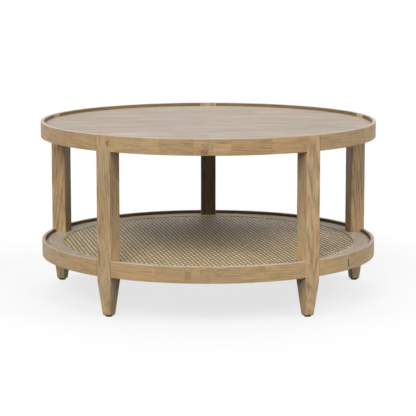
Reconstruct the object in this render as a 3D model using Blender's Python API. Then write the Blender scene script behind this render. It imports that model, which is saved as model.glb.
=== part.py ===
"""Round coffee table with a lipped top, five square legs and a lower shelf with a woven cane panel.

Metres, +Z up. The origin is on the floor, under the middle of the table.
Every leg has its own frame: u points out from the table's axis, t points along the rim
(anticlockwise seen from above). A leg at 90 degrees stands at the back.
"""
import bpy
import bmesh
from math import asin, cos, degrees, pi, radians, sin, sqrt
from mathutils import Vector

# Driving dimensions
RING_R = 0.457            # outer radius of both rims and of the legs' outer faces
TABLE_H = 0.473           # floor to the rim's top edge
LEG_COUNT = 5
FIRST_LEG_DEG = 18
GAP = 0.0003              # clearance between touching pieces
GRID_DEG = 3              # facet step of every round piece; divides all the leg angles

# Legs
LEG_W = 0.0440            # along the rim
LEG_D = 0.0410            # towards the table's axis
LEG_CORNER = 0.0018       # corner radius of the post
TAPER_TOP_Z = 0.095       # the post is full size above this height
FOOT_SCALE = 0.620        # section at the foot over the full section
FOOT_CORNER = 0.006       # corner radius at the foot
FOOT_CHAMFER_H = 0.003
FOOT_CHAMFER_W = 0.0024
CORNER_STEPS = 2

# Rims
RIM_H = 0.042             # upper rim
LOWER_RIM_TOP = 0.149
LOWER_RIM_H = 0.043
LIP_T = 0.0095
RIM_EDGE = 0.0008         # chamfer of the lip and of the lower outer edge
LEDGE_W = 0.020           # upper ledge, inside the lip
LOWER_LEDGE_W = 0.0225
TENON_L = 0.012
TENON_W = 0.018
TENON_H = 0.014
TENON_INSET = 0.0065      # from the rim's outer face to the tenon

# Top panel
PANEL_T = 0.012
PANEL_DROP = 0.0092       # below the rim's top edge

# Shelf
SHELF_DROP = 0.0085       # below the lower rim's top edge
FRAME_T = 0.01425
CANE_OPENING_R = 0.398
CANE_DROP = 0.002         # below the shelf frame's top
CANE_T = 0.0018
BOARD_T = 0.0058
FRAME_LIP_W = 0.014       # inner ledge of the shelf frame, under the board

# Glides
GLIDE_R = 0.0093
GLIDE_H = 0.0035          # height of the foot above the floor
GLIDE_EDGE = 0.0006
NAIL_R = 0.0015
NAIL_L = 0.015

# Screws
SCREW_L = 0.028
SCREW_R = 0.00175
SCREW_HEAD_R = 0.004
SCREW_HEAD_H = 0.0025
SCREW_TIP = 0.003
SCREW_RECESS = 0.0006     # head below the rim's underside
SCREW_SPREAD_DEG = 20     # each side of a rim arc's middle
CLEAR_HOLE_R = 0.0023
PILOT_HOLE_R = 0.00217
HEAD_CLEAR = 0.0004
SLOT_L = 0.0046           # cross recess in the head
SLOT_W = 0.0009
SLOT_DEPTH = 0.0011
ROUND_STEPS = 12
GLIDE_STEPS = 24

# Derived
RIM_BOTTOM = TABLE_H - RIM_H
LOWER_RIM_BOTTOM = LOWER_RIM_TOP - LOWER_RIM_H
LIP_IN = RING_R - LIP_T
PANEL_TOP = TABLE_H - PANEL_DROP
PANEL_BOTTOM = PANEL_TOP - PANEL_T
SHOULDER_Z = PANEL_BOTTOM - GAP
FRAME_TOP = LOWER_RIM_TOP - SHELF_DROP
FRAME_BOTTOM = FRAME_TOP - FRAME_T
LOWER_LEDGE_Z = FRAME_BOTTOM - GAP
CANE_TOP = FRAME_TOP - CANE_DROP
BOARD_TOP = CANE_TOP - CANE_T - GAP
BOARD_BOTTOM = BOARD_TOP - BOARD_T
LEG_IN = RING_R - LEG_D
LEG_MID = RING_R - LEG_D / 2
SECTOR_DEG = 360 / LEG_COUNT
SCREW_RADIUS = LIP_IN - LEDGE_W / 2
OVERSHOOT = 0.002         # how far a cutter or a joined block passes a face

LEG_NAMES = ["right_rear", "back", "left_rear", "front_left", "front_right"]
ARC_NAMES = ["back_right", "back_left", "left", "front", "right"]


# ---------------------------------------------------------------- materials

def material(name, color, roughness, metallic=0.0):
    mat = bpy.data.materials.new(name)
    mat.use_nodes = True
    shader = mat.node_tree.nodes["Principled BSDF"]
    shader.inputs["Base Color"].default_value = (*color, 1.0)
    shader.inputs["Roughness"].default_value = roughness
    shader.inputs["Metallic"].default_value = metallic
    return mat


def make_materials():
    return {
        "leg": material("oak_leg", (0.42, 0.29, 0.14), 0.55),
        "rim": material("oak_rim", (0.44, 0.31, 0.15), 0.55),
        "panel": material("oak_panel", (0.46, 0.35, 0.22), 0.45),
        "frame": material("oak_frame", (0.40, 0.29, 0.17), 0.55),
        "board": material("dark_board", (0.06, 0.04, 0.025), 0.8),
        "cane": material("cane", (0.58, 0.45, 0.22), 0.6),
        "glide": material("black_plastic", (0.01, 0.01, 0.01), 0.5),
        "screw": material("zinc_steel", (0.60, 0.58, 0.52), 0.35, 1.0),
    }


# ---------------------------------------------------------------- mesh tools

def mesh_from(bm, name):
    bmesh.ops.recalc_face_normals(bm, faces=bm.faces)
    mesh = bpy.data.meshes.new(name)
    bm.to_mesh(mesh)
    bm.free()
    return mesh


def loft(name, sections):
    """Closed solid through a list of sections, each with the same number of points."""
    bm = bmesh.new()
    rings = [[bm.verts.new(p) for p in section] for section in sections]
    count = len(rings[0])
    for ring, following in zip(rings, rings[1:]):
        for i in range(count):
            j = (i + 1) % count
            bm.faces.new((ring[i], ring[j], following[j], following[i]))
    bm.faces.new(rings[0])
    bm.faces.new(rings[-1])
    return mesh_from(bm, name)


def turned(name, profile, steps):
    """Solid of revolution about Z from a profile of (radius, z) that starts and ends on the axis."""
    bm = bmesh.new()
    verts = [bm.verts.new((r, 0.0, z)) for r, z in profile]
    edges = [bm.edges.new(pair) for pair in zip(verts, verts[1:])]
    bmesh.ops.spin(bm, geom=verts + edges, cent=(0, 0, 0), axis=(0, 0, 1), angle=2 * pi,
                   steps=steps, use_duplicate=False)
    bmesh.ops.remove_doubles(bm, verts=bm.verts, dist=1e-6)
    return mesh_from(bm, name)


def add_box(bm, low, high):
    corners = bmesh.ops.create_cube(bm, size=1.0)["verts"]
    low, high = Vector(low), Vector(high)
    for vert in corners:
        vert.co = Vector(low[k] if vert.co[k] < 0 else high[k] for k in range(3))


def boxes(name, spans, turn_deg=0.0):
    """Mesh of separate boxes, each given by its low and high corners, turned about Z."""
    bm = bmesh.new()
    for low, high in spans:
        add_box(bm, low, high)
    for vert in bm.verts:
        vert.co = turn_z(vert.co, turn_deg)
    return mesh_from(bm, name)


def turn_z(point, deg):
    c, s = cos(radians(deg)), sin(radians(deg))
    return Vector((c * point[0] - s * point[1], s * point[0] + c * point[1], point[2]))


def combine(mesh, other, operation):
    """Boolean of two meshes; returns the resulting mesh."""
    base = bpy.data.objects.new("base", mesh)
    tool = bpy.data.objects.new("tool", other)
    for obj in (base, tool):
        bpy.context.collection.objects.link(obj)
    step = base.modifiers.new("combine", "BOOLEAN")
    step.object = tool
    step.operation = operation
    step.solver = "EXACT"
    graph = bpy.context.evaluated_depsgraph_get()
    result = bpy.data.meshes.new_from_object(base.evaluated_get(graph))
    result.name = mesh.name
    for obj in (base, tool):
        bpy.data.objects.remove(obj)
    return result


def joined(name, meshes_at):
    """One mesh out of several that don't touch, each with its own offset."""
    bm = bmesh.new()
    for mesh, offset in meshes_at:
        start = len(bm.verts)
        bm.from_mesh(mesh)
        bm.verts.ensure_lookup_table()
        for vert in bm.verts[start:]:
            vert.co += Vector(offset)
    return mesh_from(bm, name)


def place(name, mesh, mat, parent, turn_deg=0.0, location=(0.0, 0.0, 0.0), smooth_deg=20):
    obj = bpy.data.objects.new(name, mesh)
    bpy.context.collection.objects.link(obj)
    mesh.materials.clear()
    mesh.materials.append(mat)
    mesh.shade_smooth()
    mesh.set_sharp_from_angle(angle=radians(smooth_deg))
    obj.location = location
    obj.rotation_euler = (0.0, 0.0, radians(turn_deg))
    obj.parent = parent
    return obj


# ---------------------------------------------------------------- legs

def leg_section(scale, corner, inset, z):
    """Outline of the post at height z: a rectangle whose outer face follows the rim."""
    half_w = LEG_W / 2 * scale - inset
    half_d = LEG_D / 2 * scale - inset
    points = []
    for quarter, (side_u, side_t) in enumerate([(1, 1), (-1, 1), (-1, -1), (1, -1)]):
        centre = Vector((side_u * (half_d - corner), side_t * (half_w - corner)))
        for step in range(CORNER_STEPS + 1):
            angle = radians(90 * (quarter + step / CORNER_STEPS))
            points.append(centre + corner * Vector((cos(angle), sin(angle))))
    points.append(Vector((half_d, 0.0)))
    crown = RING_R - sqrt(RING_R ** 2 - half_w ** 2)
    section = []
    for point in points:
        bend = crown * (point.y / half_w) ** 2 if point.x > 0 else 0.0
        section.append((LEG_MID + point.x - bend, point.y, z))
    return section


def tenon_span(ledge_bottom, ledge_top, ledge_in, grow, reach):
    """Box of a rim tenon beside a leg, at positive t; grow widens it into its mortise."""
    outer = RING_R - TENON_INSET
    middle = (ledge_bottom + ledge_top) / 2
    inner = max(outer - TENON_W, ledge_in + OVERSHOOT)
    low = (inner - grow, LEG_W / 2 - TENON_L - grow, middle - TENON_H / 2 - grow)
    high = (outer + grow, LEG_W / 2 + reach, middle + TENON_H / 2 + grow)
    return low, high


def mirrored_t(span):
    low, high = span
    return (low[0], -high[1], low[2]), (high[0], -low[1], high[2])


def upper_tenon(grow, reach):
    return tenon_span(RIM_BOTTOM, SHOULDER_Z, LIP_IN - LEDGE_W, grow, reach)


def lower_tenon(grow, reach):
    return tenon_span(LOWER_RIM_BOTTOM, LOWER_LEDGE_Z, LIP_IN - LOWER_LEDGE_W, grow, reach)


def make_leg_mesh():
    foot_chamfer_top = GLIDE_H + FOOT_CHAMFER_H
    post = loft("leg", [
        leg_section(FOOT_SCALE, FOOT_CORNER - FOOT_CHAMFER_W, FOOT_CHAMFER_W, GLIDE_H),
        leg_section(FOOT_SCALE, FOOT_CORNER, 0.0, foot_chamfer_top),
        leg_section(1.0, LEG_CORNER, 0.0, TAPER_TOP_Z),
        leg_section(1.0, LEG_CORNER, 0.0, TABLE_H),
    ])
    notch = ((LEG_IN - OVERSHOOT, -LEG_W, SHOULDER_Z), (LIP_IN, LEG_W, TABLE_H + OVERSHOOT))
    mortises = [upper_tenon(GAP, OVERSHOOT), lower_tenon(GAP, OVERSHOOT)]
    mortises += [mirrored_t(span) for span in mortises]
    post = combine(post, boxes("notch", [notch]), "DIFFERENCE")
    post = combine(post, boxes("mortises", mortises), "DIFFERENCE")
    hole_r = NAIL_R + GAP + 0.0001
    hole = turned("nail_hole", [(0, -OVERSHOOT), (hole_r, -OVERSHOOT), (hole_r, NAIL_L + GAP), (0, NAIL_L + GAP)],
                  ROUND_STEPS)
    hole = joined("nail_hole", [(hole, (LEG_MID, 0.0, GLIDE_H))])
    return combine(post, hole, "DIFFERENCE")


# ---------------------------------------------------------------- rims and shelf frame

def arc_solid(name, profile, end_offset):
    """Profile of (radius, z) swept between the leg at angle 0 and the next one.

    Each end is a plane at end_offset beside its leg's centre line.
    """
    first = int(degrees(asin(end_offset / RING_R)) / GRID_DEG + 1.5) * GRID_DEG
    stations = range(first, int(SECTOR_DEG) - first + 1, GRID_DEG)
    sections = []
    for end in (0, 1):
        section = []
        for r, z in profile:
            beside = degrees(asin(end_offset / r))
            section.append(turn_z((r, 0.0, z), SECTOR_DEG - beside if end else beside))
        sections.append(section)
    between = [[turn_z((r, 0.0, z), deg) for r, z in profile] for deg in stations]
    return loft(name, [sections[0]] + between + [sections[1]])


def rim_profile(bottom, top, ledge_z, ledge_in):
    return [
        (RING_R - RIM_EDGE, bottom),
        (RING_R, bottom + RIM_EDGE),
        (RING_R, top - RIM_EDGE),
        (RING_R - RIM_EDGE, top),
        (LIP_IN + RIM_EDGE, top),
        (LIP_IN, top - RIM_EDGE),
        (LIP_IN, ledge_z),
        (ledge_in, ledge_z),
        (ledge_in, bottom),
    ]


def screw_angles():
    middle = SECTOR_DEG / 2
    return [middle - SCREW_SPREAD_DEG, middle + SCREW_SPREAD_DEG]


def screw_hole_mesh(bottom, top):
    """Countersunk clearance hole from the underside of a rim up through its ledge."""
    head_r = SCREW_HEAD_R + HEAD_CLEAR
    head_top = SCREW_RECESS + SCREW_HEAD_H + HEAD_CLEAR
    hole = turned("hole", [
        (0, -OVERSHOOT),
        (head_r, -OVERSHOOT),
        (head_r, SCREW_RECESS + HEAD_CLEAR),
        (CLEAR_HOLE_R, head_top),
        (CLEAR_HOLE_R, top - bottom + OVERSHOOT),
        (0, top - bottom + OVERSHOOT),
    ], ROUND_STEPS)
    places = [(hole, turn_z((SCREW_RADIUS, 0.0, bottom), deg)) for deg in screw_angles()]
    return joined("screw_holes", places)


def pilot_hole_mesh(start_z, screw_z, angles):
    """Blind holes for screw tips, open at start_z."""
    depth = screw_z + SCREW_L + GAP - start_z
    hole = turned("pilot", [
        (0, -OVERSHOOT),
        (PILOT_HOLE_R, -OVERSHOOT),
        (PILOT_HOLE_R, depth),
        (0, depth),
    ], ROUND_STEPS)
    return joined("pilot_holes", [(hole, turn_z((SCREW_RADIUS, 0.0, start_z), deg)) for deg in angles])


def make_rim_mesh(name, bottom, top, ledge_z, ledge_in, tenon):
    arc = arc_solid(name, rim_profile(bottom, top, ledge_z, ledge_in), LEG_W / 2 + GAP)
    near = boxes("tenon", [tenon(0.0, OVERSHOOT)])
    far = boxes("tenon", [mirrored_t(tenon(0.0, OVERSHOOT))], SECTOR_DEG)
    arc = combine(arc, near, "UNION")
    arc = combine(arc, far, "UNION")
    return combine(arc, screw_hole_mesh(bottom, ledge_z), "DIFFERENCE")


def make_frame_mesh():
    ledge_in = CANE_OPENING_R - FRAME_LIP_W
    ledge_z = BOARD_BOTTOM - GAP
    arc = arc_solid("shelf_frame", [
        (LIP_IN - GAP, FRAME_BOTTOM),
        (LIP_IN - GAP, FRAME_TOP),
        (CANE_OPENING_R, FRAME_TOP),
        (CANE_OPENING_R, ledge_z),
        (ledge_in, ledge_z),
        (ledge_in, FRAME_BOTTOM),
    ], GAP / 2)
    half = LEG_W / 2 + GAP
    around_leg = ((LEG_IN - GAP, -half, FRAME_BOTTOM - OVERSHOOT), (RING_R, half, FRAME_TOP + OVERSHOOT))
    arc = combine(arc, boxes("near_leg", [around_leg]), "DIFFERENCE")
    arc = combine(arc, boxes("far_leg", [around_leg], SECTOR_DEG), "DIFFERENCE")
    screw_z = LOWER_RIM_BOTTOM + SCREW_RECESS
    return combine(arc, pilot_hole_mesh(FRAME_BOTTOM, screw_z, screw_angles()), "DIFFERENCE")


# ---------------------------------------------------------------- discs

def disc_mesh(name, radius, bottom, top, edge=0.0):
    """Flat disc; edge is the chamfer round its top."""
    rings = [(radius, bottom), (radius, top - edge)]
    if edge:
        rings.append((radius - edge, top))
    sections = []
    for r, z in rings:
        sections.append([turn_z((r, 0.0, z), deg) for deg in range(0, 360, GRID_DEG)])
    return loft(name, sections)


def make_panel_mesh():
    disc = disc_mesh("top_panel", LIP_IN - GAP, PANEL_BOTTOM, PANEL_TOP)
    angles = []
    for k in range(LEG_COUNT):
        angles += [FIRST_LEG_DEG + SECTOR_DEG * k + deg for deg in screw_angles()]
    screw_z = RIM_BOTTOM + SCREW_RECESS
    return combine(disc, pilot_hole_mesh(PANEL_BOTTOM, screw_z, angles), "DIFFERENCE")


# ---------------------------------------------------------------- hardware

def make_glide_mesh():
    head = GLIDE_H - GAP
    return turned("glide", [
        (0, 0),
        (GLIDE_R - GLIDE_EDGE, 0),
        (GLIDE_R, GLIDE_EDGE),
        (GLIDE_R, head - GLIDE_EDGE),
        (GLIDE_R - GLIDE_EDGE, head),
        (NAIL_R, head),
        (NAIL_R, GLIDE_H + NAIL_L - 2 * NAIL_R),
        (0, GLIDE_H + NAIL_L),
    ], GLIDE_STEPS)


def make_screw_mesh():
    """Countersunk screw, point up, with its flat head at z 0."""
    body = turned("screw", [
        (0, 0),
        (SCREW_HEAD_R, 0),
        (SCREW_HEAD_R, GAP),
        (SCREW_R, SCREW_HEAD_H),
        (SCREW_R, SCREW_L - SCREW_TIP),
        (0, SCREW_L),
    ], ROUND_STEPS)
    half_l, half_w = SLOT_L / 2, SLOT_W / 2
    across = ((-half_l, -half_w, -OVERSHOOT), (half_l, half_w, SLOT_DEPTH))
    along = ((-half_w, -half_l, -OVERSHOOT), (half_w, half_l, SLOT_DEPTH))
    body = combine(body, boxes("slot", [across]), "DIFFERENCE")
    return combine(body, boxes("slot", [along]), "DIFFERENCE")


# ---------------------------------------------------------------- assembly

def build():
    for obj in list(bpy.data.objects):
        bpy.data.objects.remove(obj)
    mats = make_materials()
    table = bpy.data.objects.new("table", None)
    bpy.context.collection.objects.link(table)

    leg = make_leg_mesh()
    upper = make_rim_mesh("upper_rim", RIM_BOTTOM, TABLE_H, SHOULDER_Z, LIP_IN - LEDGE_W, upper_tenon)
    lower = make_rim_mesh("lower_rim", LOWER_RIM_BOTTOM, LOWER_RIM_TOP, LOWER_LEDGE_Z,
                          LIP_IN - LOWER_LEDGE_W, lower_tenon)
    frame = make_frame_mesh()
    glide = make_glide_mesh()
    screw = make_screw_mesh()

    for k in range(LEG_COUNT):
        angle = FIRST_LEG_DEG + SECTOR_DEG * k
        place("leg_" + LEG_NAMES[k], leg, mats["leg"], table, angle)
        place("glide_" + LEG_NAMES[k], glide, mats["glide"], table, 0.0, turn_z((LEG_MID, 0, 0), angle))
        place("upper_rim_" + ARC_NAMES[k], upper, mats["rim"], table, angle)
        place("lower_rim_" + ARC_NAMES[k], lower, mats["rim"], table, angle)
        place("shelf_frame_" + ARC_NAMES[k], frame, mats["frame"], table, angle)
        for index, deg in enumerate(screw_angles()):
            for level, bottom in (("top", RIM_BOTTOM), ("shelf", LOWER_RIM_BOTTOM)):
                spot = turn_z((SCREW_RADIUS, 0.0, bottom + SCREW_RECESS), angle + deg)
                name = "{}_screw_{}_{}".format(level, ARC_NAMES[k], index + 1)
                place(name, screw, mats["screw"], table, angle + deg, spot)

    place("top_panel", make_panel_mesh(), mats["panel"], table)
    board = disc_mesh("shelf_board", CANE_OPENING_R - GAP, BOARD_BOTTOM, BOARD_TOP)
    place("shelf_board", board, mats["board"], table)
    cane = disc_mesh("cane_panel", CANE_OPENING_R - GAP, CANE_TOP - CANE_T, CANE_TOP)
    place("cane_panel", cane, mats["cane"], table)


build()
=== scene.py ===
"""Looks of the round coffee table: oak legs, block-built rims, top panel and woven cane shelf.

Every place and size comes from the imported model. Metres, +Z up, the camera looks along +Y.
"""
import random
from math import asin, atan2, ceil, cos, degrees, pi, radians, sin, sqrt

import bpy
import bmesh
import numpy as np
from mathutils import Matrix, Vector


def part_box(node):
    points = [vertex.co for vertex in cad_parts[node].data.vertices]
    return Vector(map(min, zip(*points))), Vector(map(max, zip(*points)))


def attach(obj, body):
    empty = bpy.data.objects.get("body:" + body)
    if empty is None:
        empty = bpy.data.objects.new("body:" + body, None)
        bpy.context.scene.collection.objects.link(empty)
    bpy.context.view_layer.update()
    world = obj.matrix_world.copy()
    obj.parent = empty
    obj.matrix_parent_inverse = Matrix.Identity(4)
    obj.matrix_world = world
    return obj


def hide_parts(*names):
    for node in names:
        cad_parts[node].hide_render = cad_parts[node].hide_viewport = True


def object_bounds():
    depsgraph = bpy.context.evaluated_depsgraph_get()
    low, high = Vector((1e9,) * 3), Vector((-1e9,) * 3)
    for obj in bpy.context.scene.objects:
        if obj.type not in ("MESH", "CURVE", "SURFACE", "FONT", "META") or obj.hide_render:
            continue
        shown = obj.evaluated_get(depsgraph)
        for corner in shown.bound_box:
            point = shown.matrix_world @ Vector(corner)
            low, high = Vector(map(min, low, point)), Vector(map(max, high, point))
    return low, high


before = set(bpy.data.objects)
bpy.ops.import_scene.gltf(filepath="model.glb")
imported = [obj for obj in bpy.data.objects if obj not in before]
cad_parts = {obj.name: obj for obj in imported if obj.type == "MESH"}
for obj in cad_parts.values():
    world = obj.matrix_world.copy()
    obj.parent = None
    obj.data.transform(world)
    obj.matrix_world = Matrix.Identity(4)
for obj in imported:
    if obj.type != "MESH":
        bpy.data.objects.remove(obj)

CAD_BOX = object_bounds()

# ---------------------------------------------------------------- sizes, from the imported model

ROOT = "root"
LEG_NAMES = ["right_rear", "back", "left_rear", "front_left", "front_right"]
ARC_NAMES = ["back_right", "back_left", "left", "front", "right"]
LEG_COUNT = len(LEG_NAMES)
FIRST_LEG_DEG = 18
SECTOR_DEG = 360 / LEG_COUNT

RING_R = CAD_BOX[1].x
TABLE_H = CAD_BOX[1].z
GAP = 0.0003
UPPER_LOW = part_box("upper_rim_front")[0]
LOWER_LOW, LOWER_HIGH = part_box("lower_rim_front")
PANEL_LOW, PANEL_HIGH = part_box("top_panel")
SHELF_LOW, SHELF_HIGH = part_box("shelf_frame_front")
BOARD_LOW, BOARD_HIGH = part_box("shelf_board")
LEG_LOW, LEG_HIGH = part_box("leg_back")

LEG_W = LEG_HIGH.x - LEG_LOW.x
LEG_D = LEG_HIGH.y - LEG_LOW.y
LEG_MID = RING_R - LEG_D / 2
LEG_IN = RING_R - LEG_D
FOOT_Z = LEG_LOW.z
LIP_IN = PANEL_HIGH.x + GAP
SHOULDER_Z = PANEL_LOW.z - GAP
CANE_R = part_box("cane_panel")[1].x
FRAME_IN = CANE_R + GAP

# ---------------------------------------------------------------- sizes of details

TAPER_Z = 0.095           # the posts are full size above this height
UPPER_LEDGE_W = 0.020
LOWER_LEDGE_W = 0.0225
FRAME_LIP_W = 0.014       # ledge under the backing board
EDGE_R = 0.0011           # rounding of the rims' visible edges
LEG_CORNER = 0.0018
FOOT_SCALE = 0.620        # section at the foot over the full section
FOOT_CORNER = 0.006
FOOT_CHAMFER_H = 0.003
FOOT_CHAMFER = ((0.0, 0.0024), (0.0004, 0.0020), (0.0024, 0.0003), (FOOT_CHAMFER_H, 0.0))     # rise, inset
ARC_STEPS = 44
RIM_LEVELS = (0.22, 0.45, 0.67, 0.72)     # heights in a rim where a block may start or end
PANEL_EDGE = 0.0006
PANEL_SIDES = 240
SMOOTH_DEG = 40           # sharper edges than this stay crisp
GLUE_FREE = 9.0           # size of a block so large that its glue joints never show
NO_JOINT = (1.0, 1.0)     # a place well inside a block, away from its glue joints

# Lightness of each post's timber, with the back post's value lowered as painted shade; painted shade on the
# back post's inner face; feet darkened at the floor; painted shade inside the rims' lips
POST_TONES_AND_SHADE = {"right_rear": 1.17, "back": 0.74, "left_rear": 1.0, "front_left": 1.06, "front_right": 1.15}
BACK_POST_INSIDE_PAINTED_SHADE = 0.42
FOOT_END_TONE = 0.25
UPPER_LIP_PAINTED_SHADE = 0.38
LOWER_LIP_PAINTED_SHADE = 0.33

# Cane weave: flat strands that pass over and under one another, one for one
STRAND_PITCH = 0.01085
STRAND_W = 0.0081
STRAND_T = 0.0014
STRAND_SWAY = 0.00018     # how far a strand drifts sideways
STRAND_SMOOTH_DEG = 60
WEAVE_TURN_DEG = 12.2
WEAVE_MARGIN = 0.0003     # between the strands' ends and the frame

# Camera, in multiples of the table's radius, and degrees
CAMERA_LENS_MM = 157.2
CAMERA_AWAY = 10.826
CAMERA_UP = 2.219
CAMERA_TILT_DEG = 9.04
CAMERA_PAN_DEG = 0.0085


# ---------------------------------------------------------------- node helpers

class Graph:
    """Short-hand for building one shader node tree."""

    def __init__(self, name):
        self.material = bpy.data.materials.new(name)
        self.material.use_nodes = True
        self.tree = self.material.node_tree
        self.shader = self.tree.nodes["Principled BSDF"]

    def node(self, kind, values=None, **settings):
        made = self.tree.nodes.new(kind)
        for key, value in settings.items():
            setattr(made, key, value)
        for key, value in (values or {}).items():
            self.put(made.inputs[key], value)
        return made

    def place(self):
        return self.node("ShaderNodeTexCoord").outputs["Object"]

    def put(self, socket, value):
        if isinstance(value, bpy.types.NodeSocket):
            self.tree.links.new(value, socket)
        else:
            socket.default_value = value

    def math(self, operation, *values, clamp=False):
        made = self.node("ShaderNodeMath", operation=operation, use_clamp=clamp)
        for socket, value in zip(made.inputs, values):
            self.put(socket, value)
        return made.outputs[0]

    def vector(self, operation, *values):
        made = self.node("ShaderNodeVectorMath", operation=operation)
        for socket, value in zip(made.inputs, values):
            self.put(socket, value)
        return made.outputs["Value" if operation in ("LENGTH", "DISTANCE") else "Vector"]

    def attribute(self, name, output="Vector"):
        return self.node("ShaderNodeAttribute", attribute_name=name).outputs[output]

    def split(self, vector):
        return self.node("ShaderNodeSeparateXYZ", {0: vector}).outputs

    def noise(self, vector, scale, detail=2.0, rough=0.5, stretch=(1, 1, 1), warp=0.0):
        spread = self.vector("MULTIPLY", vector, tuple(scale * s for s in stretch))
        values = {"Vector": spread, "Scale": 1.0, "Detail": detail, "Roughness": rough, "Distortion": warp}
        return self.node("ShaderNodeTexNoise", values).outputs["Fac"]

    def ramp(self, value, low, high, to_low=0.0, to_high=1.0):
        values = {"Value": value, "From Min": low, "From Max": high, "To Min": to_low, "To Max": to_high}
        return self.node("ShaderNodeMapRange", values, clamp=True).outputs["Result"]

    def mix(self, factor, a, b, blend="MIX"):
        made = self.node("ShaderNodeMix", data_type="RGBA", blend_type=blend)
        self.put(made.inputs["Factor"], factor)
        self.put(made.inputs["A"], a)
        self.put(made.inputs["B"], b)
        return made.outputs["Result"]

    def grey(self, value):
        return self.node("ShaderNodeCombineColor", {0: value, 1: value, 2: value}).outputs[0]

    def bump(self, height, distance, strength):
        values = {"Height": height, "Distance": distance, "Strength": strength}
        return self.node("ShaderNodeBump", values).outputs["Normal"]

    def surface(self, **values):
        names = {
            "color": "Base Color",
            "roughness": "Roughness",
            "metallic": "Metallic",
            "normal": "Normal",
            "specular": "Specular IOR Level",
            "glow": "Emission Color",
            "glow_strength": "Emission Strength",
        }
        for key, value in values.items():
            self.put(self.shader.inputs[names[key]], value)
        return self.material


def rgb(r, g, b):
    return (r, g, b, 1.0)


# ---------------------------------------------------------------- materials

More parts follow.
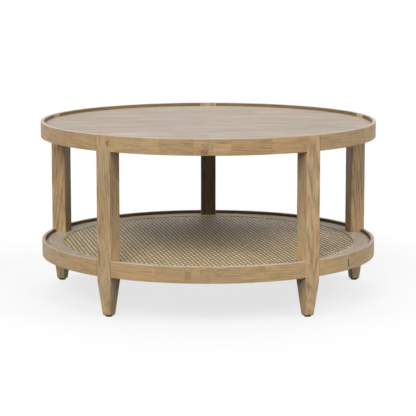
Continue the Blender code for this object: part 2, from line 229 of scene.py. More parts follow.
def oak(name, light, dark, contrast=1.0, roughness=0.48, ring_pitch=0.0055, bands=0.0):
    """Satin oak, read from the attributes that paint_wood writes.

    grain: x along the fibres, y and z from the pith of the tree. tone: lightness of the board, multiplied
    on some faces by painted shade.
    cell, cell_size: place in the glued block and its size. knot: a knot's place in grain coordinates.
    """
    g = Graph(name)
    grain = g.attribute("grain")
    tone = g.attribute("tone", "Fac")
    along, across, depth = g.split(grain)[0:3]

    knot_away = g.vector("SUBTRACT", grain, g.attribute("knot"))
    knot_flat = g.vector("LENGTH", g.vector("MULTIPLY", knot_away, (0.6, 1.0, 1.0)))
    knot_size = g.attribute("knot_size", "Fac")
    ragged = g.noise(grain, 420.0, 2.0, 0.6)
    knot_distance = g.math("DIVIDE", knot_flat, knot_size)
    knot_distance = g.math("MULTIPLY_ADD", g.math("SUBTRACT", ragged, 0.5), 0.0016, knot_distance)
    knot_pull = g.math("MULTIPLY", g.ramp(knot_distance, 0.0, 0.014, 0.012, 0.0), knot_size)
    knot_core = g.ramp(knot_distance, 0.0010, 0.0030, 1.0, 0.0)
    knot_halo = g.ramp(knot_distance, 0.0040, 0.0110, 1.0, 0.0)

    wander = g.noise(grain, 1.0, 3.0, 0.55, (4.0, 34, 34))
    lean = g.math("MULTIPLY", along, 0.06)
    across = g.math("ADD", g.math("ADD", across, lean), knot_pull)
    depth_square = g.math("MULTIPLY", depth, depth)
    pith = g.math("SQRT", g.math("MULTIPLY_ADD", across, across, depth_square))
    ring_place = g.math("ADD", pith, g.math("MULTIPLY", wander, 0.016))
    ring_turn = g.math("MULTIPLY", ring_place, 2 * pi / ring_pitch)
    ring = g.math("MULTIPLY_ADD", g.math("SINE", ring_turn), 0.5, 0.5)
    ring = g.math("POWER", ring, 1.7)
    ring_show = g.ramp(g.noise(grain, 1.0, 2.0, 0.5, (4, 45, 45)), 0.36, 0.62, 0.25, 1.0)
    ring = g.math("MULTIPLY", ring, ring_show)

    fibres = g.noise(grain, 1.0, 4.0, 0.66, (16, 300, 300), 0.4)
    pores = g.ramp(g.noise(grain, 1.0, 2.0, 0.6, (60, 1500, 1500)), 0.58, 0.70)
    cloud = g.noise(grain, 1.0, 3.0, 0.55, (6, 18, 18))
    blotch = g.noise(grain, 1.0, 4.0, 0.65, (26, 80, 80), 0.8)

    shade = g.math("MULTIPLY", ring, 0.42 * contrast)
    shade = g.math("MULTIPLY_ADD", g.ramp(fibres, 0.34, 0.66), 0.46 * contrast, shade)
    shade = g.math("MULTIPLY_ADD", g.ramp(cloud, 0.34, 0.66), 0.22 * contrast, shade)
    shade = g.math("MULTIPLY_ADD", g.ramp(blotch, 0.48, 0.70), 0.26 * contrast, shade)
    shade = g.math("MULTIPLY_ADD", pores, 0.22 * contrast, shade)
    if bands:
        broad = g.noise(grain, 1.0, 3.0, 0.6, (6, 42, 42), 0.2)
        shade = g.math("MULTIPLY_ADD", g.ramp(broad, 0.34, 0.66, -0.5, 0.5), bands, shade)
    shade = g.math("MULTIPLY", shade, 0.78, clamp=True)
    color = g.mix(shade, light, dark)

    warm = g.ramp(g.noise(grain, 1.0, 1.0, 0.5, (9, 24, 24)), 0.35, 0.68)
    color = g.mix(warm, color, g.mix(1.0, color, rgb(1.06, 0.97, 0.90), "MULTIPLY"))
    blue_tone = g.math("POWER", tone, 1.25)
    toned = g.node("ShaderNodeCombineColor", {0: tone, 1: tone, 2: blue_tone}).outputs[0]
    color = g.mix(1.0, color, toned, "MULTIPLY")
    rim_start = g.ramp(knot_distance, 0.0022, 0.0034)
    rim_end = g.ramp(knot_distance, 0.0040, 0.0054, 1.0, 0.0)
    knot_rim = g.math("MULTIPLY", rim_start, rim_end)
    color = g.mix(g.math("MULTIPLY", knot_halo, 0.40), color, rgb(0.36, 0.19, 0.065))
    color = g.mix(g.math("MULTIPLY", knot_rim, 0.55), color, rgb(0.13, 0.07, 0.03))
    color = g.mix(g.math("MULTIPLY", knot_core, 0.55), color, rgb(0.10, 0.05, 0.02))

    # hairline glue joints round each block
    cell = g.attribute("cell")
    left, low = g.split(cell)[0:2]
    right, high = g.split(g.vector("SUBTRACT", g.attribute("cell_size"), cell))[0:2]
    joint = g.math("MINIMUM", g.math("MINIMUM", left, right), g.math("MINIMUM", low, high))
    joint_line = g.ramp(joint, 0.00015, 0.0006, 1.0, 0.0)
    color = g.mix(g.math("MULTIPLY", joint_line, 0.42), color, rgb(0.12, 0.07, 0.035))

    rough = g.ramp(fibres, 0.2, 0.8, roughness - 0.05, roughness + 0.08)
    rough = g.math("MULTIPLY_ADD", pores, 0.12, rough, clamp=True)
    height = g.math("MULTIPLY_ADD", pores, -1.0, g.math("MULTIPLY", fibres, 0.7))
    height = g.math("MULTIPLY_ADD", joint_line, -1.4, height)
    height = g.math("MULTIPLY_ADD", knot_core, -0.8, height)
    normal = g.bump(height, 0.00022, 0.55)
    return g.surface(color=color, roughness=rough, normal=normal, specular=0.5)


def cane_material(name):
    """Peeled rattan: straw skin with lengthwise lines, growth nodes, and soft edges darkened as painted
    shade where the strands meet.

    strand: x along the strand, y from -1 to 1 across it, z a number of its own.
    """
    g = Graph(name)
    strand = g.attribute("strand")
    tone = g.attribute("tone", "Fac")
    along, side, number = g.split(strand)[0:3]
    across = g.math("MULTIPLY", side, 0.0046)
    place = g.node("ShaderNodeCombineXYZ", {0: along, 1: across, 2: number}).outputs[0]
    lines = g.noise(place, 1.0, 3.0, 0.6, (50, 1500, 1))
    patches = g.noise(place, 1.0, 2.0, 0.5, (30, 40, 1))
    base = g.mix(g.ramp(lines, 0.32, 0.70), rgb(0.98, 0.84, 0.54), rgb(0.66, 0.50, 0.27))
    base = g.mix(g.math("MULTIPLY", g.ramp(patches, 0.42, 0.66), 0.6), base, rgb(0.62, 0.44, 0.21))
    base = g.mix(1.0, base, g.grey(tone), "MULTIPLY")
    # painted shade: each strand darkens toward its edges, where the crevices between strands lie
    edge = g.ramp(g.math("ABSOLUTE", side), 0.42, 0.96)
    base = g.mix(g.math("MULTIPLY", edge, 0.92), base, rgb(0.06, 0.036, 0.015))
    joint = g.math("PINGPONG", g.math("MULTIPLY_ADD", number, 0.37, along), 0.11)
    joint = g.ramp(joint, 0.0006, 0.0022, 1.0, 0.0)
    base = g.mix(g.math("MULTIPLY", joint, 0.55), base, rgb(0.25, 0.14, 0.05))
    rough = g.ramp(lines, 0.2, 0.8, 0.26, 0.42)
    normal = g.bump(g.math("MULTIPLY_ADD", joint, 1.5, lines), 0.0002, 0.6)
    return g.surface(color=base, roughness=rough, normal=normal, specular=0.5)


def board_material(name):
    """Dark stained plywood under the cane."""
    g = Graph(name)
    place = g.place()
    streaks = g.noise(place, 1.0, 4.0, 0.6, (12, 260, 260), 0.2)
    clouds = g.noise(place, 1.0, 3.0, 0.5, (6, 9, 9))
    color = g.mix(g.ramp(streaks, 0.3, 0.7), rgb(0.085, 0.052, 0.030), rgb(0.040, 0.024, 0.014))
    color = g.mix(g.math("MULTIPLY", clouds, 0.4), color, rgb(0.11, 0.07, 0.04))
    rough = g.ramp(streaks, 0.2, 0.8, 0.72, 0.88)
    return g.surface(color=color, roughness=rough, normal=g.bump(streaks, 0.0002, 0.5), specular=0.3)


def wax_material(name):
    """Dark brown filler wax, slightly mottled."""
    g = Graph(name)
    place = g.place()
    mottle = g.noise(place, 900.0, 3.0, 0.6)
    color = g.mix(g.ramp(mottle, 0.3, 0.7), rgb(0.022, 0.012, 0.007), rgb(0.055, 0.030, 0.016))
    rough = g.ramp(mottle, 0.2, 0.8, 0.55, 0.75)
    return g.surface(color=color, roughness=rough, normal=g.bump(mottle, 0.0001, 0.6), specular=0.3)


def plastic_material(name):
    """Black moulded nylon with a fine spark texture and dusty scuffs."""
    g = Graph(name)
    place = g.place()
    grain = g.noise(place, 2600.0, 2.0, 0.6)
    scuff = g.ramp(g.noise(place, 240.0, 4.0, 0.7), 0.55, 0.75)
    color = g.mix(scuff, rgb(0.006, 0.006, 0.006), rgb(0.018, 0.017, 0.016))
    rough = g.ramp(grain, 0.2, 0.8, 0.62, 0.80)
    return g.surface(color=color, roughness=rough, normal=g.bump(grain, 0.00008, 0.5), specular=0.15)


def steel_material(name):
    """Zinc-plated steel with a faint yellow passivation."""
    g = Graph(name)
    place = g.place()
    grain = g.noise(place, 900.0, 3.0, 0.6)
    stain = g.noise(place, 160.0, 3.0, 0.6)
    color = g.mix(g.ramp(stain, 0.35, 0.7), rgb(0.62, 0.60, 0.55), rgb(0.56, 0.50, 0.38))
    rough = g.ramp(grain, 0.2, 0.8, 0.24, 0.42)
    return g.surface(color=color, roughness=rough, metallic=1.0, normal=g.bump(grain, 0.00005, 0.4))


# ---------------------------------------------------------------- mesh helpers

def turn_z(point, deg):
    c, s = cos(radians(deg)), sin(radians(deg))
    return Vector((c * point[0] - s * point[1], s * point[0] + c * point[1], point[2]))


def mesh_from(bm, name):
    bmesh.ops.recalc_face_normals(bm, faces=bm.faces)
    mesh = bpy.data.meshes.new(name)
    bm.to_mesh(mesh)
    bm.free()
    return mesh


def round_over(steps):
    """Points of a rounded edge, as shares of its radius: (inset, drop) from the side to the top."""
    turns = [radians(90 * k / steps) for k in range(steps + 1)]
    return [(1 - cos(turn), 1 - sin(turn)) for turn in turns]


def loft(name, sections):
    """Closed solid through sections of equal point count."""
    bm = bmesh.new()
    rings = [[bm.verts.new(p) for p in section] for section in sections]
    count = len(rings[0])
    for ring, following in zip(rings, rings[1:]):
        for i in range(count):
            j = (i + 1) % count
            bm.faces.new((ring[i], ring[j], following[j], following[i]))
    bm.faces.new(rings[0])
    bm.faces.new(rings[-1])
    return mesh_from(bm, name)


def filleted(corners, steps=3):
    """Outline of right-angled corners (x, y, radius), each rounded by its own radius."""
    points = []
    count = len(corners)
    for i, (x, y, radius) in enumerate(corners):
        corner = Vector((x, y))
        if radius <= 0:
            points.append(corner)
            continue
        before = (Vector(corners[i - 1][:2]) - corner).normalized()
        after = (Vector(corners[(i + 1) % count][:2]) - corner).normalized()
        for inset, drop in round_over(steps):
            points.append(corner + radius * (before * drop + after * inset))
    return points


def cut(mesh, cutter):
    """Boolean difference of two meshes."""
    base = bpy.data.objects.new("base", mesh)
    tool = bpy.data.objects.new("tool", cutter)
    for obj in (base, tool):
        bpy.context.collection.objects.link(obj)
    step = base.modifiers.new("cut", "BOOLEAN")
    step.object = tool
    step.operation = "DIFFERENCE"
    graph = bpy.context.evaluated_depsgraph_get()
    result = bpy.data.meshes.new_from_object(base.evaluated_get(graph))
    for obj in (base, tool):
        bpy.data.objects.remove(obj)
    return result


def write_attribute(mesh, name, kind, domain, values):
    attribute = mesh.attributes.new(name, kind, domain)
    key = "vector" if kind == "FLOAT_VECTOR" else "value"
    attribute.data.foreach_set(key, np.asarray(values, dtype=np.float32).ravel())


class Board:
    """One piece of timber: where its pith lies, how light it is, its glued outline and its knot."""

    NO_KNOT = Vector((-9.0, -9.0, -9.0))

    def __init__(self, rng, tone, size=(GLUE_FREE, GLUE_FREE), knot=None, knot_size=1.0):
        self.shift = Vector((rng.uniform(0, 20), 0.0, 0.0))
        pith_turn = rng.uniform(0, 2 * pi)
        pith_away = rng.uniform(0.03, 0.12)
        self.pith = Vector((0.0, pith_away * cos(pith_turn), pith_away * sin(pith_turn)))
        self.tone = tone
        self.size = size
        self.knot = knot
        self.knot_size = knot_size

    def grain(self, local):
        return Vector(local) + self.shift + self.pith

    def knot_place(self):
        return self.grain(self.knot) if self.knot else self.NO_KNOT


def paint_wood(mesh, board_at, local_at):
    """Writes the attributes that oak() reads.

    board_at(centre) gives the face's Board; local_at(board, point) gives the point's place as
    ((along, across, depth), (from the block's start, from its bottom)).
    """
    grain, cell, tone, size, knot, knot_size = [], [], [], [], [], []
    points = [v.co.copy() for v in mesh.vertices]
    for face in mesh.polygons:
        board = board_at(face.center)
        tone.append(board.tone)
        size.append((board.size[0], board.size[1], GLUE_FREE))
        knot.append(board.knot_place())
        knot_size.append(board.knot_size)
        for index in face.vertices:
            place, corner = local_at(board, points[index])
            grain.append(board.grain(place))
            cell.append((corner[0], corner[1], 1.0))
    write_attribute(mesh, "grain", "FLOAT_VECTOR", "CORNER", grain)
    write_attribute(mesh, "cell", "FLOAT_VECTOR", "CORNER", cell)
    write_attribute(mesh, "tone", "FLOAT", "FACE", tone)
    write_attribute(mesh, "cell_size", "FLOAT_VECTOR", "FACE", size)
    write_attribute(mesh, "knot", "FLOAT_VECTOR", "FACE", knot)
    write_attribute(mesh, "knot_size", "FLOAT", "FACE", knot_size)


def add_piece(name, mesh, material, node, turn_deg=0.0):
    """Places a finished mesh, turned about the table's axis, as a piece of the fixed body."""
    mesh.transform(Matrix.Rotation(radians(turn_deg), 4, "Z"))
    mesh.materials.clear()
    mesh.materials.append(material)
    mesh.shade_smooth()
    mesh.set_sharp_from_angle(angle=radians(SMOOTH_DEG))
    piece = bpy.data.objects.new(name, mesh)
    bpy.context.collection.objects.link(piece)
    even = piece.modifiers.new("even_normals", "WEIGHTED_NORMAL")
    even.keep_sharp = True
    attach(piece, ROOT)
    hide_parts(node)


# ---------------------------------------------------------------- legs

def leg_section(z, scale=1.0, corner=LEG_CORNER, inset=0.0):
    """Outline of a post at height z; its outer face follows the curve of the rims."""
    half_w = LEG_W / 2 * scale - inset
    half_d = LEG_D / 2 * scale - inset
    corners = [(half_d, half_w), (-half_d, half_w), (-half_d, -half_w), (half_d, -half_w)]
    outline = filleted([(x, y, corner) for x, y in corners], 4) + [Vector((half_d, 0.0))]
    crown = RING_R - sqrt(RING_R ** 2 - half_w ** 2)
    section = []
    for point in outline:
        bend = crown * (point.y / half_w) ** 2 if point.x > 0 else 0.0
        section.append((LEG_MID + point.x - bend, point.y, z))
    return section


def make_leg_mesh():
    """Post at angle 0: chamfered foot, taper, straight shaft and a notch for the top panel."""
    chamfer_top = FOOT_Z + FOOT_CHAMFER_H
    sections = []
    for rise, inset in FOOT_CHAMFER:
        sections.append(leg_section(FOOT_Z + rise, FOOT_SCALE, FOOT_CORNER - inset, inset))
    taper_steps = 8
    for k in range(1, taper_steps + 1):
        part = k / taper_steps
        z = chamfer_top + (TAPER_Z - chamfer_top) * part
        scale = FOOT_SCALE + (1 - FOOT_SCALE) * part
        corner = FOOT_CORNER + (LEG_CORNER - FOOT_CORNER) * part ** 0.8
        sections.append(leg_section(z, scale, corner))
    shaft_steps = 4
    for k in range(1, shaft_steps + 1):
        sections.append(leg_section(TAPER_Z + (TABLE_H - EDGE_R - TAPER_Z) * k / shaft_steps))
    for inset, drop in round_over(3)[1:]:
        sections.append(leg_section(TABLE_H - EDGE_R * drop, 1.0, LEG_CORNER, EDGE_R * inset))
    post = loft("leg", sections)
    over = 0.003
    profile = [(LEG_IN - over, SHOULDER_Z), (LIP_IN, SHOULDER_Z)]
    profile += [(LIP_IN + EDGE_R * inset, TABLE_H - EDGE_R * drop) for inset, drop in round_over(3)]
    profile += [(LIP_IN + EDGE_R, TABLE_H + over), (LEG_IN - over, TABLE_H + over)]
    sides = [[(u, t, z) for u, z in profile] for t in (-LEG_W, LEG_W)]
    return cut(post, loft("notch", sides))


def leg_local(point, turn):
    """Place in the post's timber: along it, and its two cross directions turned about its middle."""
    side = turn_z((point.x - LEG_MID, point.y, 0.0), turn)
    return (point.z, side.x, side.y)


def make_legs(material):
    knots = {"front_left": Vector((RING_R, 0.0150, TABLE_H - 0.020))}
    for k, name in enumerate(LEG_NAMES):
        mesh = make_leg_mesh()
        rng = random.Random("leg " + name)
        turn = rng.uniform(0, 360)
        knot = leg_local(knots[name], turn) if name in knots else None
        board = Board(rng, POST_TONES_AND_SHADE[name], knot=knot, knot_size=0.8)
        paint_wood(mesh, lambda centre: board, lambda b, p: (leg_local(p, turn), NO_JOINT))
        tone_and_shade_values = mesh.attributes["tone"].data
        for face in mesh.polygons:
            if face.center.z < FOOT_Z + FOOT_CHAMFER_H:
                tone_and_shade_values[face.index].value *= FOOT_END_TONE
            # painted shade: the back post's inner face, in shade under the table, gets darker wood
            if name == "back" and face.center.x < LEG_IN + 0.001:
                tone_and_shade_values[face.index].value *= BACK_POST_INSIDE_PAINTED_SHADE
        turn_deg = FIRST_LEG_DEG + SECTOR_DEG * k
        add_piece("post_" + name, mesh, material, "leg_" + name, turn_deg)


# ---------------------------------------------------------------- rims

def rim_outline(low, high, ledge_z, ledge_in, inset=0.0):
    """Section of a rim, as (radius, height): a tall outer band with a ledge inside its foot."""
    outline = filleted([
        (RING_R - inset, low + inset, EDGE_R),
        (RING_R - inset, high - inset, EDGE_R),
        (LIP_IN + inset, high - inset, EDGE_R),
        (LIP_IN + inset, ledge_z, 0.0),
        (ledge_in, ledge_z, 0.0),
        (ledge_in, low + inset, 0.0),
    ])
    levels = [low + (high - low) * level for level in RIM_LEVELS]
    layered = []
    for a, b in zip(outline, outline[1:] + outline[:1]):
        layered.append(a)
        between = [z for z in levels if min(a.y, b.y) + 1e-5 < z < max(a.y, b.y) - 1e-5]
        for z in sorted(between, reverse=b.y < a.y):
            layered.append(a.lerp(b, (z - a.y) / (b.y - a.y)))
    return layered


def end_angle(r, offset):
    return degrees(asin(offset / r))


def arc_sections(outline_at, offsets, breaks=()):
    """Sections of an arc between two legs.

    offsets lists (distance beside the leg's centre line, inset) from the end inwards.
    breaks lists further angles that need a section of their own.
    """
    first = end_angle(LIP_IN, offsets[-1][0]) + 0.6
    span = SECTOR_DEG - 2 * first
    stations = {round(first + span * k / ARC_STEPS, 4) for k in range(ARC_STEPS + 1)}
    for deg in breaks:
        if first < deg < SECTOR_DEG - first:
            stations = {s for s in stations if abs(s - deg) > 0.25}
            stations.add(deg)
    start, middle, end = [], [], []
    for offset, inset in offsets:
        places = [((p.x, 0, p.y), end_angle(p.x, offset)) for p in outline_at(inset)]
        start.append([turn_z(place, deg) for place, deg in places])
        end.append([turn_z(place, SECTOR_DEG - deg) for place, deg in places])
    for deg in sorted(stations):
        middle.append([turn_z((p.x, 0, p.y), deg) for p in outline_at(0.0)])
    return start + middle + end[::-1]


class Block:
    """A glued block of a rim: its angles, its share of the height, its timber and its knot."""

    def __init__(self, rng, start, end, tone, bottom=0.0, top=1.0, knot=None, knot_size=1.0):
        self.start, self.end, self.bottom, self.top = start, end, bottom, top
        self.board = Board(rng, tone, knot=knot, knot_size=knot_size)

    def holds(self, deg, share):
        return self.start <= deg < self.end and self.bottom <= share < self.top


def random_blocks(rng, spread):
    """Full-height blocks of mixed length, now and then with a shallower block let into one."""
    blocks = []
    deg = -rng.uniform(0, 8)
    while deg < SECTOR_DEG:
        length = rng.choice([4.5, 8.0, 11.0, 15.0, 19.0, 24.0]) * rng.uniform(0.85, 1.15)
        tone = 1.0 + spread * rng.uniform(-1, 1)
        blocks.append(Block(rng, deg, deg + length, tone))
        if rng.random() < 0.3:
            bottom, top = rng.choice([(0.67, 1.0), (0.0, 0.45), (0.22, 0.72)])
            inner_start = deg + length * rng.uniform(0.0, 0.4)
            inner_end = deg + length * rng.uniform(0.6, 1.0)
            blocks.append(Block(rng, inner_start, inner_end, tone + spread * 0.8, bottom, top))
        deg += length
    return blocks


def joint_angles(blocks):
    """Angles at which blocks start or end, each once."""
    angles = []
    for deg in sorted({block.start for block in blocks} | {block.end for block in blocks}):
        if not angles or deg - angles[-1] > 0.05:
            angles.append(deg)
    return angles


def make_rim(name, node, level, woods, turn_deg, extra_blocks=()):
    """Rim between two legs. Its lip is smooth on top and paler there as painted sheen, and darker within as
    painted shade.

    level: (bottom, top, ledge height, ledge radius, painted shade inside the lip). woods: (faces, top edge
    with painted sheen).
    """
    low, high, ledge_z, ledge_in, lip_painted_shade = level
    rng = random.Random(name)
    blocks = random_blocks(rng, 0.07)
    blocks += [Block(rng, *values) for values in extra_blocks]
    breaks = joint_angles(blocks)
    offset = LEG_W / 2 + GAP
    offsets = [(offset, 0.0008), (offset + 0.0003, 0.0002), (offset + 0.0009, 0.0)]

    def outline_at(inset):
        return rim_outline(low, high, ledge_z, ledge_in, inset)

    mesh = loft(name, arc_sections(outline_at, offsets, breaks))
    owner = {}

    def board_at(centre):
        deg = degrees(atan2(centre.y, centre.x))
        share = min(0.999, max(0.0, (centre.z - low) / (high - low)))
        block = next((b for b in reversed(blocks) if b.holds(deg, share)), blocks[0])
        let_in = block.bottom > 0.0 or block.top < 1.0
        height = (high - low) * (block.top - block.bottom) if let_in else GLUE_FREE
        block.board.size = (radians(block.end - block.start) * RING_R, height)
        owner[block.board] = block
        return block.board

    def local_at(board, point):
        block = owner[board]
        run = (radians(degrees(atan2(point.y, point.x)) - block.start)) * RING_R
        rise = point.z - low - (high - low) * block.bottom
        depth = sqrt(point.x ** 2 + point.y ** 2) - RING_R
        let_in = board.size[1] < GLUE_FREE
        return (run, rise, depth), (run, rise if let_in else NO_JOINT[1])

    paint_wood(mesh, board_at, local_at)
    tone_and_shade_values = mesh.attributes["tone"].data
    for face in mesh.polygons:
        radius = sqrt(face.center.x ** 2 + face.center.y ** 2)
        # painted shade: the lip's inner faces above the ledge get darker wood
        if radius < LIP_IN + EDGE_R / 2 and face.center.z > ledge_z:
            tone_and_shade_values[face.index].value *= lip_painted_shade
    add_piece(name, mesh, woods[0], node, turn_deg)
    # painted sheen: the lip's top faces get a second, paler and greyer oak; its lower roughness is real
    # gloss
    mesh.materials.append(woods[1])
    for face in mesh.polygons:
        if face.center.z > high - EDGE_R * 0.35 and face.normal.z > 0.6:
            face.material_index = 1


def make_check(material):
    """Short upright drying crack in the right-hand shelf rim, with a fill of dark wax that stands proud."""
    height, width, depth, proud = 0.023, 0.0046, 0.0010, 0.0003
    steps = 12
    middle_z = (LOWER_LOW.z + LOWER_HIGH.z) / 2 - 0.001
    middle_deg = FIRST_LEG_DEG + SECTOR_DEG * ARC_NAMES.index("right") + 17.3
    sections = []
    for k in range(steps + 1):
        share = k / steps
        half = width / 2 * (0.12 + sin(pi * share) ** 0.7 * (1.0 - 0.45 * share))
        drift = 0.0010 * (0.5 - share) + 0.0004 * sin(9 * share)
        z = middle_z + height * (share - 0.5)
        ring = []
        for across, outward in ((-half, -depth), (half, -depth), (half, proud), (-half, proud)):
            angle = middle_deg + degrees((across + drift) / RING_R)
            ring.append(turn_z((RING_R + outward, 0.0, z), angle))
        sections.append(ring)
    add_piece("rim_check", loft("rim_check", sections), material, "lower_rim_right")


def make_rims(woods):
    # start and end angle, tone, then where needed the share of the height that a block starts and
    # ends at, its knot (along, up, outward) and the knot's size
    upper_front = [
        (0.0, 20.6, 1.04),
        (20.6, 31.2, 0.99),
        (31.2, 36.0, 1.01, 0.0, 1.0, (0.031, 0.009, 0.0), 1.5),
        (36.0, 43.3, 0.95),
        (37.5, 43.3, 1.12, 0.22, 0.72),
        (43.3, 56.5, 0.91),
        (56.5, 72.0, 0.96),
        (56.5, 69.8, 1.05, 0.67, 1.0),
    ]
    lower_front = [
        (0.0, 18.9, 1.02),
        (18.9, 28.6, 0.95),
        (28.6, 30.5, 0.95),
        (28.6, 30.5, 0.84, 0.22, 0.72),
        (30.5, 33.4, 1.03),
        (33.4, 36.0, 0.95),
        (36.0, 46.1, 0.96, 0.0, 1.0, (0.024, 0.021, -0.004), 0.8),
        (46.1, 54.2, 0.97),
        (54.2, 72.0, 1.03),
    ]
    shelf_z = SHELF_LOW.z - GAP
    upper = (UPPER_LOW.z, TABLE_H, SHOULDER_Z, LIP_IN - UPPER_LEDGE_W, UPPER_LIP_PAINTED_SHADE)
    lower = (LOWER_LOW.z, LOWER_HIGH.z, shelf_z, LIP_IN - LOWER_LEDGE_W, LOWER_LIP_PAINTED_SHADE)
    for k, arc in enumerate(ARC_NAMES):
        turn = FIRST_LEG_DEG + SECTOR_DEG * k
        extra_upper, extra_lower = (upper_front, lower_front) if arc == "front" else ((), ())
        make_rim("rim_top_" + arc, "upper_rim_" + arc, upper, woods, turn, extra_upper)
        make_rim("rim_shelf_" + arc, "lower_rim_" + arc, lower, woods, turn, extra_lower)


# ---------------------------------------------------------------- shelf frame and top panel

def leg_space(turn, margin):
    """Upright block that a post passes through, past the shelf frame's faces by margin."""
    half = LEG_W / 2 + GAP
    corners = [(LEG_IN - GAP, -half), (RING_R, -half), (RING_R, half), (LEG_IN - GAP, half)]
    section = [turn_z((x, y, 0.0), turn) for x, y in corners]
    heights = (SHELF_LOW.z - margin, SHELF_HIGH.z + margin)
    return loft("leg_space", [[(p.x, p.y, z) for p in section] for z in heights])


def make_shelf_frame(material):
    """Flat ring round the cane, in five arcs that meet behind the posts."""
    ledge_z = BOARD_LOW.z - GAP
    outer = LIP_IN - GAP

    def outline_at(inset):
        return filleted([
            (outer, SHELF_LOW.z, 0.0),
            (outer, SHELF_HIGH.z - inset, 0.0006),
            (FRAME_IN, SHELF_HIGH.z - inset, 0.0009),
            (FRAME_IN, ledge_z, 0.0),
            (FRAME_IN - FRAME_LIP_W, ledge_z, 0.0),
            (FRAME_IN - FRAME_LIP_W, SHELF_LOW.z, 0.0),
        ])

    def local_at(board, point):
        straight = turn_z(point, -SECTOR_DEG / 2)
        return (straight.y, straight.x - RING_R, straight.z), NO_JOINT

    offsets = [(GAP / 2, 0.0003), (GAP / 2 + 0.0003, 0.0)]
    for k, arc in enumerate(ARC_NAMES):
        rng = random.Random("shelf frame " + arc)
        mesh = loft("shelf_ring", arc_sections(outline_at, offsets))
        for turn in (0.0, SECTOR_DEG):
            mesh = cut(mesh, leg_space(turn, 0.002))
        board = Board(rng, rng.uniform(0.95, 1.04))
        paint_wood(mesh, lambda centre: board, local_at)
        turn_deg = FIRST_LEG_DEG + SECTOR_DEG * k
        add_piece("shelf_ring_" + arc, mesh, material, "shelf_frame_" + arc, turn_deg)


def make_top_panel(material):
    """Round panel with a softened edge, glued up from parallel boards."""
    rng = random.Random("top panel")
    radius, top, edge = PANEL_HIGH.x, PANEL_HIGH.z, PANEL_EDGE
    rings = [
        (radius, PANEL_LOW.z),
        (radius, top - edge),
        (radius - edge * 0.3, top - edge * 0.3),
        (radius - edge, top),
    ]
    turns = [360 * k / PANEL_SIDES for k in range(PANEL_SIDES)]
    mesh = loft("top_panel_boards", [[turn_z((r, 0, z), turn) for turn in turns] for r, z in rings])
    widths = []
    while sum(widths) < 2 * radius:
        widths.append(rng.uniform(0.085, 0.135))
    bm = bmesh.new()
    bm.from_mesh(mesh)
    limits = []
    y = -radius
    for width in widths:
        limits.append((y, y + width, Board(rng, rng.uniform(0.94, 1.06), (GLUE_FREE, width))))
        y += width
        if y < radius:
            everything = bm.verts[:] + bm.edges[:] + bm.faces[:]
            bmesh.ops.bisect_plane(bm, geom=everything, plane_co=(0, y, 0), plane_no=(0, 1, 0))
    bm.to_mesh(mesh)
    bm.free()

    def board_at(centre):
        for low, high, board in limits:
            if low <= centre.y < high:
                return board
        return limits[-1][2]

    lows = {board: low for low, high, board in limits}

    def local_at(board, point):
        across = point.y - lows[board]
        return (point.x, across, point.z - top), (NO_JOINT[0], across)

    paint_wood(mesh, board_at, local_at)
    add_piece("top_boards", mesh, material, "top_panel")


# ---------------------------------------------------------------- cane webbing

class Strands:
    """Collects woven strands, each a crowned ribbon that rises and dips at its crossings."""

    # section of a strand: across in half widths, height in thicknesses
    OUTLINE = ((-1.0, -0.38), (-0.62, 0.30), (0.0, 0.5), (0.62, 0.30), (1.0, -0.38))

    def __init__(self, name, tone):
        self.name = name
        self.family_tone_and_light = tone
        self.points, self.faces, self.place, self.tone = [], [], [], []
        self.number = 0
        self.rng = random.Random(name)

    def add(self, middle, along, away, radius, phase):
        """Ribbon across a round opening, away to the side of its middle; phase says where it rises."""
        self.number += 1
        number = self.number * 0.731
        side = Vector((-along.y, along.x, 0.0))
        width = STRAND_W / 2 * self.rng.uniform(0.96, 1.02)
        tone = self.family_tone_and_light * self.rng.uniform(0.90, 1.08)
        sway = self.rng.uniform(0, 2 * pi)
        step = STRAND_PITCH / 4
        nearest = max(0.0, abs(away) - width)
        last = ceil(sqrt(radius ** 2 - nearest ** 2) / step)
        first = -last
        corners = len(self.OUTLINE)
        base = len(self.points)
        for k in range(first, last + 1):
            s = k * step
            lift = STRAND_T / 2 * cos(pi * (s / STRAND_PITCH + phase))
            drift = STRAND_SWAY * sin(s * 29 + sway)
            for across, height in self.OUTLINE:
                lateral = max(-radius, min(radius, away + drift + across * width))
                reach = sqrt(radius ** 2 - lateral ** 2)
                run = max(-reach, min(reach, s))
                rise = Vector((0.0, 0.0, lift + STRAND_T * height))
                self.points.append(middle + along * run + side * lateral + rise)
            if k > first:
                a = base + corners * (k - 1 - first)
                b = a + corners
                for i in range(corners):
                    j = (i + 1) % corners
                    low, high = self.OUTLINE[i][0], self.OUTLINE[j][0]
                    self.faces.append((a + i, b + i, b + j, a + j))
                    self.place += [(s - step, low, number), (s, low, number)]
                    self.place += [(s, high, number), (s - step, high, number)]
                    self.tone.append(tone)
        end_base = base + corners * (last - first)
        for cap in (range(base, base + corners), range(end_base + corners - 1, end_base - 1, -1)):
            self.faces.append(tuple(cap))
            self.place += [(0.0, 0.0, number)] * corners
            self.tone.append(tone * 0.8)

    def piece(self, material):
        mesh = bpy.data.meshes.new(self.name)
        mesh.from_pydata(self.points, [], self.faces)
        write_attribute(mesh, "strand", "FLOAT_VECTOR", "CORNER", self.place)
        write_attribute(mesh, "tone", "FLOAT", "FACE", self.tone)
        mesh.materials.append(material)
        mesh.shade_smooth()
        mesh.set_sharp_from_angle(angle=radians(STRAND_SMOOTH_DEG))
        made = bpy.data.objects.new(self.name, mesh)
        bpy.context.collection.objects.link(made)
        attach(made, ROOT)
        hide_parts("cane_panel")


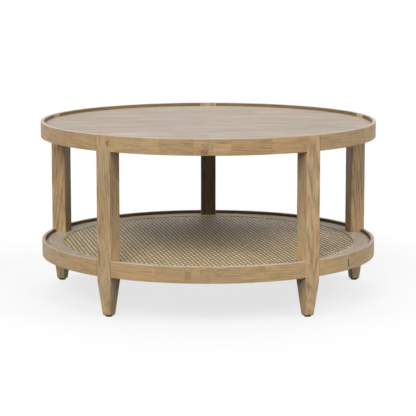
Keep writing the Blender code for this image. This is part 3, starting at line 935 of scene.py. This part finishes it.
def make_cane(material):
    """Two families of strands at right angles, which share their crossings."""
    radius = CANE_R - WEAVE_MARGIN
    middle = Vector((0.0, 0.0, BOARD_HIGH.z + GAP + STRAND_T))
    # name, direction, whether the first crossing rises or dips, lightness; the across family's darker and
    # the along family's lighter value are painted shade and light
    families = [
        ("cane_strands_across", WEAVE_TURN_DEG, 0, 0.50),
        ("cane_strands_along", WEAVE_TURN_DEG + 90, 1, 1.34),
    ]
    for name, turn, rise, tone in families:
        strands = Strands(name, tone)
        along = turn_z((1, 0, 0), turn)
        count = int((radius - STRAND_W * 0.2) / STRAND_PITCH)
        for k in range(-count, count + 1):
            strands.add(middle, along, k * STRAND_PITCH, radius, (k + rise) % 2)
        strands.piece(material)


# ---------------------------------------------------------------- studio

def make_camera():
    data = bpy.data.cameras.new("camera")
    data.sensor_width = 36.0
    data.lens = CAMERA_LENS_MM
    data.clip_end = 300.0
    camera = bpy.data.objects.new("camera", data)
    camera.location = (0.0, -CAMERA_AWAY * RING_R, CAMERA_UP * RING_R)
    camera.rotation_euler = (radians(90 - CAMERA_TILT_DEG), 0.0, radians(CAMERA_PAN_DEG))
    bpy.context.collection.objects.link(camera)
    bpy.context.scene.camera = camera


def make_sun(name, azimuth, elevation, strength, angle):
    """Soft distant light; azimuth 0 shines from the front, 90 from the right."""
    data = bpy.data.lights.new(name, "SUN")
    data.energy = strength
    data.angle = radians(angle)
    light = bpy.data.objects.new(name, data)
    light.rotation_euler = (radians(90 - elevation), 0.0, radians(azimuth))
    bpy.context.collection.objects.link(light)
    return light


def add_studio_part(name, bm, grey, glow):
    """Part of the studio that glows evenly but lights none of the table's matt surfaces."""
    g = Graph("studio_" + name)
    mesh = mesh_from(bm, name)
    mesh.materials.append(g.surface(color=rgb(grey, grey, grey), roughness=0.9, specular=0.0,
                                    glow=rgb(1, 1, 1), glow_strength=glow))
    part = bpy.data.objects.new(name, mesh)
    bpy.context.collection.objects.link(part)
    part.visible_diffuse = False
    return part


def make_floor():
    bm = bmesh.new()
    bmesh.ops.create_circle(bm, cap_ends=True, radius=60.0, segments=64)
    return add_studio_part("floor", bm, 0.18, 0.75)


def make_backdrop():
    """White sphere that only the camera sees, so the horizon stays white."""
    bm = bmesh.new()
    bmesh.ops.create_uvsphere(bm, u_segments=32, v_segments=16, radius=90.0)
    backdrop = add_studio_part("backdrop", bm, 0.0, 1.0)
    backdrop.visible_glossy = False
    backdrop.visible_transmission = False
    backdrop.visible_shadow = False


def make_world():
    """White surroundings that show in glossy reflections but light nothing by themselves."""
    world = bpy.data.worlds.new("studio")
    bpy.context.scene.world = world
    world.use_nodes = True
    background = world.node_tree.nodes["Background"]
    background.inputs["Color"].default_value = rgb(1, 1, 1)
    background.inputs["Strength"].default_value = 0.61
    world.cycles_visibility.diffuse = False
    scene = bpy.context.scene
    scene.view_settings.view_transform = "Standard"
    scene.view_settings.look = "None"


def make_studio():
    """Suns from every side, and one overhead that lights only the floor and so softens its shadow."""
    make_world()
    floor = make_floor()
    make_backdrop()
    make_sun("key", -40, 42, 0.57, 12)
    make_sun("key_middle", -20, 50, 0.48, 15)
    make_sun("front_left", -15, 30, 0.98, 20)
    make_sun("front_right", 35, 40, 0.86, 20)
    make_sun("left", -80, 40, 0.90, 30)
    make_sun("right", 80, 40, 1.17, 30)
    make_sun("back", 180, 50, 0.25, 40)
    overhead = make_sun("floor_overhead", 180, 66, 1.4, 50)
    floor_only = bpy.data.collections.new("floor_only")
    floor_only.objects.link(floor)
    overhead.light_linking.receiver_collection = floor_only
    make_camera()


# ---------------------------------------------------------------- assembly

def assign(node, material):
    for mesh_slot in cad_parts[node].material_slots:
        mesh_slot.material = material


def build():
    rim_oak = oak("oak_rim", rgb(0.66, 0.465, 0.240), rgb(0.27, 0.170, 0.078))
    # paler, greyer colours are painted sheen on the lips' top faces
    lip_top_sheen_oak = oak("oak_lip_top_painted_sheen", rgb(0.66, 0.55, 0.43), rgb(0.38, 0.30, 0.23), 0.8, 0.30)
    leg_oak = oak("oak_leg", rgb(0.70, 0.510, 0.280), rgb(0.24, 0.155, 0.075), 1.2)
    # shelf ring and top panel: oak whose paler, greyer colour is partly painted sheen from grazing light
    shelf_oak_with_sheen = oak("oak_shelf_with_painted_sheen", rgb(0.74, 0.65, 0.52), rgb(0.30, 0.24, 0.18), 1.0, 0.46, bands=0.3)
    top_oak_with_sheen = oak("oak_top_with_painted_sheen", rgb(0.53, 0.450, 0.375), rgb(0.24, 0.195, 0.155), 0.9, 0.42, bands=0.7)
    make_legs(leg_oak)
    make_rims((rim_oak, lip_top_sheen_oak))
    make_check(wax_material("dark_wax"))
    make_shelf_frame(shelf_oak_with_sheen)
    make_top_panel(top_oak_with_sheen)
    make_cane(cane_material("cane_skin"))
    plywood = board_material("stained_plywood")
    nylon = plastic_material("black_nylon")
    zinc = steel_material("zinc_steel")
    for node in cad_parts:
        if node.startswith("glide"):
            assign(node, nylon)
        elif "_screw_" in node:
            assign(node, zinc)
        elif node == "shelf_board":
            assign(node, plywood)


build()
make_studio()
